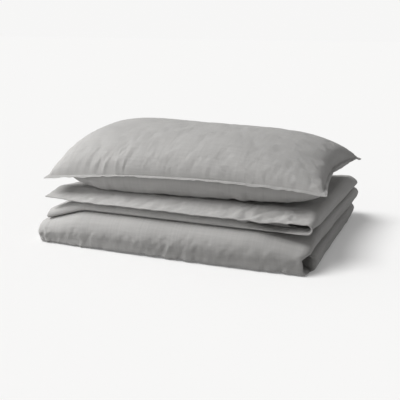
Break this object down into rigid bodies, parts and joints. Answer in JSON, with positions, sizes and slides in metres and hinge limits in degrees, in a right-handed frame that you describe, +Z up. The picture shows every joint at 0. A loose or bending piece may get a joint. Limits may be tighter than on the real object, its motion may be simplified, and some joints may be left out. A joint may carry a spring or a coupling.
{
  "type": "folded bedding set",
  "caption": "Folded duvet in a buttoned cover, with a folded bed sheet and a filled pillow stacked on top of it.",
  "frame": {"origin": "middle of the stack's outline, on the surface that it lies on", "axes": "+X along the long side, towards the side where the sheet is folded; +Y from the duvet's folded front edge to its buttoned back edge; +Z up"},
  "size_m": [0.796, 0.605, 0.2994],
  "materials": {
    "cover_cotton": "matt washed plain weave, warm mid grey",
    "inner_cotton": "matt close-woven cotton, off-white",
    "fibre_filling": "loose white fibre",
    "button_shell": "satin grey, dyed to match the cover"
  },
  "bodies": {
    "duvet": {"duvet_cover_face": "cover_cotton", "duvet_cover_reverse": "cover_cotton", "duvet_cover_placket": "cover_cotton", "duvet_cover_button_1": "button_shell", "duvet_cover_button_2": "button_shell", "duvet_cover_button_3": "button_shell", "duvet_cover_button_4": "button_shell", "duvet_ticking_outer": "inner_cotton", "duvet_ticking_inner": "inner_cotton", "duvet_filling": "fibre_filling"},
    "sheet": {"sheet_outer_ply": "cover_cotton", "sheet_outer_hem": "cover_cotton", "sheet_inner_hem": "cover_cotton", "sheet_inner_ply": "cover_cotton", "sheet_folded_plies": "cover_cotton"},
    "pillow": {"pillowcase_upper_panel": "cover_cotton", "pillowcase_under_panel": "cover_cotton", "pillowcase_tuck_flap": "cover_cotton", "pillow_ticking_upper": "inner_cotton", "pillow_ticking_under": "inner_cotton", "pillow_filling": "fibre_filling"}
  },
  "joints": [
    {"name": "sheet_lift", "type": "slide", "parent": "duvet", "child": "sheet", "axis": [0, 0, 1], "range_m": [0, 0.25]},
    {"name": "pillow_lift", "type": "slide", "parent": "sheet", "child": "pillow", "axis": [0, 0, 1], "range_m": [0, 0.25]}
  ]
}
